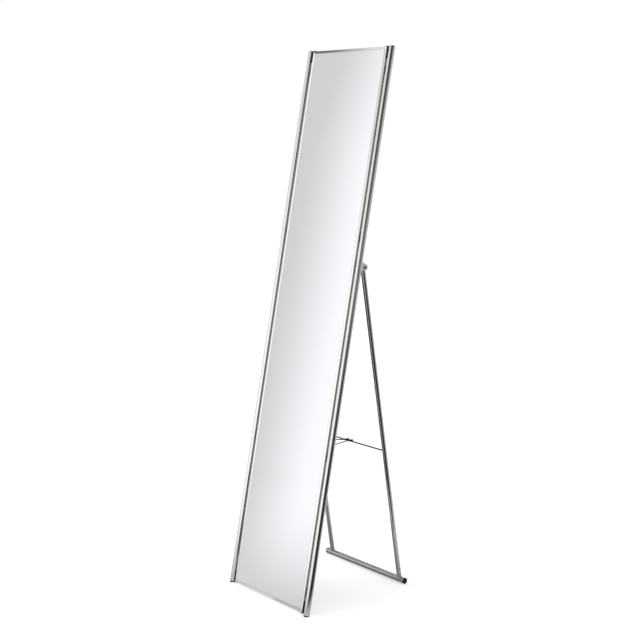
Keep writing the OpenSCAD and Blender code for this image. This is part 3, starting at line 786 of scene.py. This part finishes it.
def turned_mesh(name, profile):
    """Closed mesh turned round the z axis from (radius, height) points, poles closed"""
    form = bmesh.new()
    rings = []
    for radius, height in profile:
        if radius < 1e-7:
            rings.append([form.verts.new((0.0, 0.0, height))])
            continue
        ring = [(radius * math.cos(turn), radius * math.sin(turn), height) for turn in turns(SCREW_STEPS)]
        rings.append([form.verts.new(spot) for spot in ring])
    for lower, upper in zip(rings, rings[1:]):
        for i in range(SCREW_STEPS):
            corners = [lower[i % len(lower)], lower[(i + 1) % len(lower)]]
            corners += [upper[(i + 1) % len(upper)], upper[i % len(upper)]]
            unique = list(dict.fromkeys(corners))
            if len(unique) > 2:
                form.faces.new(unique)
    bmesh.ops.recalc_face_normals(form, faces=form.faces)
    return mesh_from(form, name)


def cross_cutter(name, span, width, top, depth):
    """Tapered plus-shaped plug that cuts a cross recess"""
    outline = [(span, -width), (span, width), (width, width)]
    while len(outline) < 12:
        outline += [(-y, x) for x, y in outline[-3:]]
    form = bmesh.new()
    upper = [form.verts.new((x * 1.15, y * 1.15, top + 0.3 * depth)) for x, y in outline]
    lower = [form.verts.new((x * 0.5, y * 0.5, top - depth)) for x, y in outline]
    form.faces.new(upper)
    form.faces.new(list(reversed(lower)))
    for i in range(len(outline)):
        after = (i + 1) % len(outline)
        form.faces.new((upper[i], lower[i], lower[after], upper[after]))
    bmesh.ops.recalc_face_normals(form, faces=form.faces)
    return mesh_from(form, name)


def pan_screw(name, head_r, head_h, shank_r, shank_len):
    """Pan-head screw with a cross recess: the head stands on z = 0"""
    profile = [(0.0, -shank_len), (shank_r * 0.55, -shank_len), (shank_r, -shank_len + shank_r * 0.8)]
    profile += [(shank_r, 0.0), (head_r * 0.97, 0.0), (head_r, head_h * 0.06)]
    for turn in [i * 90.0 / 7.0 for i in range(8)]:
        radius = head_r * math.cos(math.radians(turn)) ** 0.6 if turn < 90.0 else 0.0
        profile.append((radius, head_h * (0.35 + 0.65 * math.sin(math.radians(turn)))))
    blank = new_object(name + ".blank", turned_mesh(name + ".turned", profile))
    cutter = new_object(
        name + ".cutter", cross_cutter(name + ".cutter", head_r * 0.55, head_r * 0.15, head_h, head_h * 0.7))
    modifier = blank.modifiers.new("Recess", "BOOLEAN")
    modifier.operation = "DIFFERENCE"
    modifier.solver = "EXACT"
    modifier.object = cutter
    mesh = settled_mesh(blank)
    bpy.data.objects.remove(cutter)
    smooth(mesh, SCREW_SHARP_ANGLE)
    return mesh


# ---------------------------------------------------------------- geometry nodes

def geometry_net(name, **takes):
    """Net of a geometry tree and its inputs: Geometry and those given, with _ for a space"""
    kinds = {label.replace("_", " "): kind for label, kind in takes.items()}
    net = tree_net(name, "GeometryNodeTree", {"Geometry": "Geometry", **kinds})
    return net, net.add("NodeGroupInput").outputs


def run_geometry_tree(thing, tree, values):
    """Sets the tree's inputs by identifier, works it out and returns the plain mesh"""
    modifier = thing.modifiers.new(tree.name, "NODES")
    modifier.node_group = tree
    identifiers = {
        item.name: item.identifier for item in tree.interface.items_tree
        if item.item_type == "SOCKET" and item.in_out == "INPUT"
    }
    for name, value in values.items():
        modifier[identifiers[name]] = value
    return settled_mesh(thing)


def end_tree(net, geometry, material):
    """Every tree ends in real geometry with its material set"""
    real = net.add("GeometryNodeRealizeInstances", {"Geometry": geometry})
    done = net.add("GeometryNodeSetMaterial", {"Geometry": real.outputs["Geometry"], "Material": material})
    net.tree.interface.new_socket(name="Geometry", in_out="OUTPUT", socket_type="NodeSocketGeometry")
    net.add("NodeGroupOutput", {"Geometry": done.outputs["Geometry"]})
    return net.tree


def fastener_tree():
    """Sets a screw on each point of the mirror frame, each stopped at an angle of its own"""
    net, given = geometry_net(
        "Fasteners", Screw="Object", Turn_Seed="Int", Lean="Float", Offset="Vector", Finish="Material")
    points = net.add("GeometryNodeMeshToPoints", {"Mesh": given["Geometry"]})
    screw = net.add("GeometryNodeObjectInfo", {"Object": given["Screw"]})
    angle = net.add(
        "FunctionNodeRandomValue", {2: 0.0, 3: FULL_TURN, "Seed": given["Turn Seed"]}, data_type="FLOAT")
    spin = net.add("ShaderNodeCombineXYZ", {"Z": angle.outputs[1]})
    spun = net.add("FunctionNodeEulerToRotation", {0: spin.outputs[0]})
    outward = (math.radians(-90.0), 0.0, 0.0)
    tip = net.add("FunctionNodeRotateRotation", {0: spun.outputs[0], 1: outward}, rotation_space="GLOBAL")
    placed = net.add("GeometryNodeInstanceOnPoints", {
        "Points": points.outputs[0], "Instance": screw.outputs["Geometry"], "Rotation": tip.outputs[0]})
    tilt = net.add("ShaderNodeCombineXYZ", {"X": net.times(given["Lean"], -1.0)})
    tilted = net.add("FunctionNodeEulerToRotation", {0: tilt.outputs[0]})
    leant = net.add("GeometryNodeTransform", {
        "Geometry": placed.outputs[0], "Translation": given["Offset"], "Rotation": tilted.outputs[0]})
    return end_tree(net, leant.outputs[0], given["Finish"])


def bead_tree():
    """Runs a rippled weld bead along each path; the attribute bead gives its radius"""
    net, given = geometry_net(
        "Weld beads", Step="Float", Ripple_Pitch="Float", Ripple_Depth="Float", Seed="Int",
        Finish="Material")
    path = net.add("GeometryNodeMeshToCurve", {"Mesh": given["Geometry"]})
    even = net.add(
        "GeometryNodeResampleCurve", {"Curve": path.outputs[0], "Length": given["Step"]}, mode="LENGTH")
    run = net.add("GeometryNodeSplineParameter").outputs["Length"]
    phase = net.calc("DIVIDE", run, given["Ripple Pitch"])
    ripple = net.calc("SINE", net.times(phase, FULL_TURN))
    spot = net.add("GeometryNodeInputPosition").outputs[0]
    moved = net.add("ShaderNodeVectorMath", {0: spot, 1: given["Seed"]}, operation="ADD").outputs[0]
    uneven = net.minus(net.noise(moved, 260.0), 0.5)
    swell = net.ramp(net.ramp(uneven, 3.0, ripple), given["Ripple Depth"], 1.0)
    bead = net.add("GeometryNodeInputNamedAttribute", {"Name": "bead"}, data_type="FLOAT")
    profile = net.add("GeometryNodeCurvePrimitiveCircle", {"Resolution": 10, "Radius": 1.0})
    drawn = net.add("GeometryNodeCurveToMesh", {
        "Curve": even.outputs[0], "Profile Curve": profile.outputs["Curve"],
        "Scale": net.times(bead.outputs[0], swell), "Fill Caps": True})
    rounded = net.add("GeometryNodeSetShadeSmooth", {"Geometry": drawn.outputs[0]})
    return end_tree(net, rounded.outputs[0], given["Finish"])


def path_object(name, paths):
    """Object of open or closed paths, each (points, closed, bead radius)"""
    mesh = bpy.data.meshes.new(name)
    points = []
    edges = []
    radii = []
    for corners, closed, radius in paths:
        first = len(points)
        points += [tuple(corner) for corner in corners]
        radii += [radius] * len(corners)
        edges += [(first + i, first + i + 1) for i in range(len(corners) - 1)]
        if closed:
            edges.append((first + len(corners) - 1, first))
    mesh.from_pydata(points, edges, [])
    bead = mesh.attributes.new("bead", "FLOAT", "POINT")
    bead.data.foreach_set("value", radii)
    return new_object(name, mesh)


def add_beads(name, paths, body):
    """Weld beads along paths, as one piece"""
    tree = bpy.data.node_groups.get("Weld beads") or bead_tree()
    mesh = run_geometry_tree(path_object(name + ".paths", paths), tree, {
        "Step": BEAD_STEP, "Ripple Pitch": sizes().ripple_pitch, "Ripple Depth": RIPPLE_DEPTH,
        "Seed": RIPPLE_SEED, "Finish": finish("Plated weld")})
    mesh.name = name
    return add_piece(name, mesh, finish("Plated weld"), body)


def add_fasteners(name, measures, spots, node):
    """Screws of one CAD node, set by the fastener tree"""
    mesh = bpy.data.meshes.new(name + ".spots")
    mesh.from_pydata(spots, [], [])
    screw = new_object(name + ".one", pan_screw(name + ".screw", *measures))
    tree = bpy.data.node_groups.get("Fasteners") or fastener_tree()
    made = run_geometry_tree(new_object(name + ".spots", mesh), tree, {
        "Screw": screw, "Turn Seed": sizes().screw_seed, "Lean": LEAN, "Offset": (0.0, MIRROR_Y, 0.0),
        "Finish": finish("Zinc plate")})
    bpy.data.objects.remove(screw)
    made.name = name
    return add_piece(name, made, finish("Zinc plate"), "mirror", (node,))


# ---------------------------------------------------------------- weld paths

def cope_seam(side, back, front, low, high, radius):
    """Bead on a side tube round the three open sides of a plate that meets it"""
    depths = [back + (front - back) * i / 6.0 for i in range(7)]
    cope = [(SIGN[side] * (STILE_X - math.sqrt(STILE_R ** 2 - d ** 2)), d) for d in depths]
    corners = [(x, d, low) for x, d in reversed(cope)] + [(x, d, high) for x, d in cope]
    return [MIRROR_PLACE @ Vector(corner) for corner in corners], False, radius


def rail_seams():
    return [
        cope_seam(side, RAIL_BACK, BOARD_BACK, height - RAIL_HALF, height + RAIL_HALF, sizes().bead_rail)
        for height in RAIL_HEIGHTS for side in SIDES
    ]


def lug_seams():
    back = math.sqrt(STILE_R ** 2 - (STILE_X - LUG_SEAM_X) ** 2)
    radius = sizes().bead_rail * LUG_BEAD_SHARE
    return [cope_seam(side, back, LUG_ROOT_BACK, LUG_SEAM_LOW, LUG_SEAM_HIGH, radius) for side in SIDES]


def ring_seams(count, radius, spot):
    """Closed beads at both legs; spot gives a turn's offsets away from the middle, across, back and up"""
    paths = []
    for side in SIDES:
        ring = []
        for turn in turns(count):
            outward, across, back, up = spot(turn)
            ring.append(LEG_PLACE @ Vector((SIGN[side] * (LEG_X + outward) + across, back, up)))
        paths.append((ring, True, radius))
    return paths


def leg_spot(turn):
    """Where a leg stands on the foot bar"""
    back = LEG_R * math.sin(turn)
    return 0.0, LEG_R * math.cos(turn), back, -LEG_LEN + math.sqrt(FOOT_BAR_R ** 2 - back ** 2)


def rod_spot(turn):
    """Where the cross rod meets a leg"""
    back = CROSS_ROD_R * math.cos(turn)
    return -math.sqrt(LEG_R ** 2 - back ** 2), 0.0, back, -CROSS_ROD_DROP + CROSS_ROD_R * math.sin(turn)


# ---------------------------------------------------------------- operators

class FLOORMIRROR_OT_panel(bpy.types.Operator):
    """Finish the mirror glass, the foam sheet and the backing board"""
    bl_idname = "floor_mirror.panel"
    bl_label = "Glass and board"

    def execute(self, context):
        dress("mirror_glass", "Silvered glass")
        dress("foam_sheet", "Foam sheet")
        dress("backing_board", "Hardboard")
        return {"FINISHED"}


class FLOORMIRROR_OT_side_tubes(bpy.types.Operator):
    """Finish the side tubes, their top caps and their foot plugs"""
    bl_idname = "floor_mirror.side_tubes"
    bl_label = "Side tubes"

    def execute(self, context):
        for side in SIDES:
            dress("stile_" + side, "Chromed side tube")
            dress("top_cap_" + side, "Chromed side tube")
            dress("foot_plug_" + side, "Black rubber")
        return {"FINISHED"}


class FLOORMIRROR_OT_rails(bpy.types.Operator):
    """Make the flat rails with eased edges"""
    bl_idname = "floor_mirror.rails"
    bl_label = "Cross rails"

    def execute(self, context):
        for node in ("top_rail", "upper_rail", "stay_rail", "bottom_rail"):
            add_eased(node, "Chromed flat", "mirror", spared=meets_tube)
        return {"FINISHED"}


class FLOORMIRROR_OT_clips(bpy.types.Operator):
    """Make the corner clips with eased edges"""
    bl_idname = "floor_mirror.clips"
    bl_label = "Corner clips"

    def execute(self, context):
        for end in ("top", "bottom"):
            for side in SIDES:
                node = "corner_clip_" + end + "_" + side
                add_eased(node, "Moulded black plastic", "mirror", spared=meets_tube)
        return {"FINISHED"}


class FLOORMIRROR_OT_hinges(bpy.types.Operator):
    """Make the hinge lugs with eased edges and finish their bolts, washers and nuts"""
    bl_idname = "floor_mirror.hinges"
    bl_label = "Hinges"

    def execute(self, context):
        for side in SIDES:
            add_eased("hinge_lug_" + side, "Chromed side tube", "mirror", spared=meets_tube)
            dress("pivot_bolt_" + side, "Zinc bolt")
            dress("pivot_nut_" + side, "Zinc plate")
            dress("pivot_washer_" + side, "Natural nylon")
        return {"FINISHED"}


class FLOORMIRROR_OT_leg_frame(bpy.types.Operator):
    """Finish the legs, the cross rod and the foot bar with their plugs and caps"""
    bl_idname = "floor_mirror.leg_frame"
    bl_label = "Leg frame"

    def execute(self, context):
        dress("cross_rod", "Drawn steel")
        dress("foot_bar", "Satin foot bar")
        for side in SIDES:
            dress("leg_" + side, "Chromed leg")
            dress("leg_plug_" + side, "Moulded black plastic")
            dress("foot_cap_" + side, "Moulded black plastic")
        return {"FINISHED"}


class FLOORMIRROR_OT_stay(bpy.types.Operator):
    """Finish the stay's wire and make its hooks and saddles with eased edges"""
    bl_idname = "floor_mirror.stay"
    bl_label = "Stay"

    def execute(self, context):
        dress("stay_wire", "Drawn steel")
        for side in SIDES:
            add_eased("stay_hook_" + side, "Moulded black plastic", "stay", HOOK_EASE)
            add_eased("stay_saddle_" + side, "Zinc plate", "mirror", SADDLE_EASE)
        return {"FINISHED"}


class FLOORMIRROR_OT_screws(bpy.types.Operator):
    """Set the cross-head screws of the board and of the saddles"""
    bl_idname = "floor_mirror.screws"
    bl_label = "Screws"

    def execute(self, context):
        board = [(x, RAIL_BACK, h) for h in RAIL_HEIGHTS for x in (-BOARD_SCREW_X, BOARD_SCREW_X)]
        add_fasteners("board_screws.set", BOARD_SCREW, board, "board_screws")
        heights = (STAY_RAIL_H - SADDLE_SCREW_HALF, STAY_RAIL_H + SADDLE_SCREW_HALF)
        saddle = [(x, RAIL_BACK + SADDLE_T, h) for x in (-SADDLE_X, SADDLE_X) for h in heights]
        add_fasteners("saddle_screws.set", SADDLE_SCREW, saddle, "saddle_screws")
        return {"FINISHED"}


class FLOORMIRROR_OT_welds(bpy.types.Operator):
    """Lay the weld beads of the mirror's frame and of the leg frame"""
    bl_idname = "floor_mirror.welds"
    bl_label = "Welds"

    def execute(self, context):
        add_beads("mirror_welds", rail_seams() + lug_seams(), "mirror")
        rings = ring_seams(LEG_RING_STEPS, sizes().bead_leg, leg_spot)
        rings += ring_seams(ROD_RING_STEPS, sizes().bead_rod, rod_spot)
        add_beads("leg_welds", rings, "leg_frame")
        return {"FINISHED"}


class FLOORMIRROR_OT_stage(bpy.types.Operator):
    """Lay the floor and set the light and the camera"""
    bl_idname = "floor_mirror.stage"
    bl_label = "Studio"

    def execute(self, context):
        studio = context.scene.floor_mirror_studio
        lay_floor(studio)
        stand_flag()
        light_world(context.scene, studio)
        add_lamp("Key lamp", studio.key, KEY_TURN, KEY_SOFTNESS)
        add_lamp("Fill lamp", studio.fill, FILL_TURN, FILL_SOFTNESS)
        set_camera(context.scene)
        context.scene.view_settings.view_transform = "Standard"
        return {"FINISHED"}


# ---------------------------------------------------------------- stage

def azimuth_of(net, way):
    """Degrees from straight in front of the mirror, growing towards the left"""
    return net.calc("DEGREES", net.calc("ARCTAN2", net.times(way[0], -1.0), net.times(way[1], -1.0)))


def ray_kinds(net):
    """Whether a ray is glossy, and whether the camera sends it straight or through something clear"""
    rays = net.add("ShaderNodeLightPath").outputs
    return rays["Is Glossy Ray"], net.calc("MAXIMUM", rays["Is Camera Ray"], rays["Is Transmission Ray"])


def stage_plate(name, corners, dressed):
    """Flat stage object whose surface is what dressed makes in the net of its material"""
    mesh = bpy.data.meshes.new(name)
    mesh.from_pydata(corners, [], [(0, 1, 2, 3)])
    material = bpy.data.materials.new(name)
    net = bare_net(material)
    net.add("ShaderNodeOutputMaterial", {"Surface": dressed(net)})
    mesh.materials.append(material)
    plate = new_object(name, mesh)
    return plate


def lay_floor(studio):
    """Pale floor that keeps the object's shadow; polished metal sees it fade into the room"""
    half = studio.floor_half
    corners = [(-half, -half, 0.0), (half, -half, 0.0), (half, half, 0.0), (-half, half, 0.0)]

    def dressed(net):
        glossy, plain = ray_kinds(net)
        tone = studio.floor_tone
        matt = net.add("ShaderNodeBsdfDiffuse", {"Color": (tone, tone, tone)})
        lift = net.glow(net.times(plain, FLOOR_WHITE - tone))
        white = net.add("ShaderNodeAddShader", {0: matt.outputs[0], 1: lift})
        centred = net.mapping(net.where(), (0.0, -MIRROR_Y, 0.0))
        where = net.split(centred)
        radius = net.length(where[0], where[1])
        azimuth = azimuth_of(net, where)
        # The wall's edge runs away from the camera's image in the mirror, so it fades evenly there
        image = camera_image()
        wall = azimuth_of(net, net.split(net.mapping(centred, (-image.x, MIRROR_Y - image.y, 0.0))))
        room = net.group(
            "Studio room", Azimuth=azimuth, Elevation=FLOOR_ELEVATION, Wall_Azimuth=wall,
            Card_Start=FLOOR_CARD_SIDES[0], Card_End=FLOOR_CARD_SIDES[1])
        far = net.minus(1.0, net.calc("EXPONENT", net.calc("DIVIDE", radius, -FLOOR_FADE)))
        aside = net.calc("MAXIMUM", net.fall(azimuth, *ASIDE_RIGHT), net.span(azimuth, *ASIDE_LEFT))
        near = net.ramp(aside, studio.floor_aside - studio.floor_near, studio.floor_near)
        light = net.toward(near, far, room["Light"])
        # Painted shadow: polished metal sees the floor behind the mirror darker, as if the mirror shaded it
        behind = net.length(where[0], net.minus(where[1], SHADE_BACK))
        painted_shadow = net.times(net.fall(behind, *SHADE_REACH), net.span(where[1], *SHADE_START))
        light = net.times(light, net.ramp(painted_shadow, -SHADE_DEPTH, 1.0))
        loss = net.times(room["Loss"], net.span(radius, *FLOOR_CARD_START))
        seen = net.glow(net.times(light, net.minus(1.0, loss)))
        return net.add("ShaderNodeMixShader", {0: glossy, 1: white.outputs[0], 2: seen}).outputs[0]

    stage_plate("studio_floor", corners, dressed)


def stand_flag():
    """Black card at the right front that only polished metal sees, with soft edges"""
    corners = [FLAG_LEFT, FLAG_RIGHT, FLAG_RIGHT + FLAG_RISE, FLAG_LEFT + FLAG_RISE]

    def dressed(net):
        where = net.split(net.where())
        off_middle = net.calc("ABSOLUTE", net.minus(where[2], FLAG_PALER_HEIGHT))
        glow = net.glow(net.ramp(net.fall(off_middle, *FLAG_PALER_REACH), FLAG_PALER, FLAG_LEVEL))
        clear = net.add("ShaderNodeBsdfTransparent").outputs[0]
        started = net.span(where[0], FLAG_LEFT.x, FLAG_LEFT.x + FLAG_SOFT)
        share = net.times(started, net.fall(where[0], FLAG_RIGHT.x - FLAG_SOFT, FLAG_RIGHT.x))
        return net.add("ShaderNodeMixShader", {0: share, 1: clear, 2: glow}).outputs[0]

    flag = stage_plate("studio_flag", corners, dressed)
    for ray in ("camera", "diffuse", "transmission", "volume_scatter", "shadow"):
        setattr(flag, "visible_" + ray, False)


def light_world(scene, studio):
    """Even light all round; the camera sees white, and polished metal sees the room"""
    scene.world = bpy.data.worlds.new("Studio")
    net = bare_net(scene.world)
    way = net.split(net.where("Generated"))
    azimuth = azimuth_of(net, way)
    elevation = net.calc("DEGREES", net.calc("ARCSINE", way[2]))
    room = net.group("Studio room", Azimuth=azimuth, Elevation=elevation, Wall_Azimuth=azimuth)
    glossy, plain = ray_kinds(net)
    seen = net.times(room["Light"], net.minus(1.0, room["Loss"]))
    colour = net.mix(glossy, (studio.sky, studio.sky, studio.sky), seen)
    light = net.add("ShaderNodeBackground", {"Color": net.mix(plain, colour, (1.0, 1.0, 1.0))})
    net.add("ShaderNodeOutputWorld", {"Surface": light.outputs[0]})


def add_lamp(name, strength, turn, softness):
    """Soft far lamp; its light comes down the local z axis"""
    lamp = bpy.data.lights.new(name, "SUN")
    lamp.energy = strength
    lamp.angle = math.radians(softness)
    thing = new_object(name, lamp)
    thing.rotation_euler = [math.radians(part) for part in turn]
    thing.visible_glossy = False


def camera_image():
    """Where the mirror shows the camera"""
    foot = Vector((0.0, MIRROR_Y, 0.0))
    normal = Vector((0.0, -math.cos(LEAN), math.sin(LEAN)))
    return CAMERA_PLACE - 2.0 * (CAMERA_PLACE - foot).dot(normal) * normal


def set_camera(scene):
    """Camera at the photograph's viewing angle"""
    lens = bpy.data.cameras.new("Photo camera")
    lens.lens = CAMERA_LENS
    lens.sensor_width = 36.0
    lens.clip_start = 0.05
    thing = new_object("Photo camera", lens)
    thing.location = CAMERA_PLACE
    thing.rotation_euler = [math.radians(part) for part in CAMERA_TURN]
    scene.camera = thing


# ---------------------------------------------------------------- add-on

SETTINGS = {
    "floor_mirror_sizes": FloorMirrorSizes,
    "floor_mirror_colours": FloorMirrorColours,
    "floor_mirror_studio": FloorMirrorStudio,
}
STEPS = (
    FLOORMIRROR_OT_stage,
    FLOORMIRROR_OT_panel,
    FLOORMIRROR_OT_side_tubes,
    FLOORMIRROR_OT_rails,
    FLOORMIRROR_OT_clips,
    FLOORMIRROR_OT_hinges,
    FLOORMIRROR_OT_leg_frame,
    FLOORMIRROR_OT_stay,
    FLOORMIRROR_OT_screws,
    FLOORMIRROR_OT_welds,
)


class FLOORMIRROR_PT_panel(bpy.types.Panel):
    """Lists the sizes, the colours and the steps that make the mirror"""
    bl_idname = "FLOORMIRROR_PT_panel"
    bl_label = "Floor mirror"
    bl_space_type = "VIEW_3D"
    bl_region_type = "UI"
    bl_category = "Floor mirror"

    def draw(self, context):
        for name, kind in SETTINGS.items():
            box = self.layout.box()
            for setting in kind.__annotations__:
                box.prop(getattr(context.scene, name), setting)
        for step in STEPS:
            self.layout.operator(step.bl_idname)


CLASSES = (*SETTINGS.values(), *STEPS, FLOORMIRROR_PT_panel)


def register():
    for kind in CLASSES:
        bpy.utils.register_class(kind)
    for name, kind in SETTINGS.items():
        setattr(bpy.types.Scene, name, PointerProperty(type=kind))


def unregister():
    for name in SETTINGS:
        delattr(bpy.types.Scene, name)
    for kind in reversed(CLASSES):
        bpy.utils.unregister_class(kind)


def main():
    register()
    for step in STEPS:
        group, name = step.bl_idname.split(".")
        getattr(getattr(bpy.ops, group), name)()


if __name__ == "__main__":
    main()
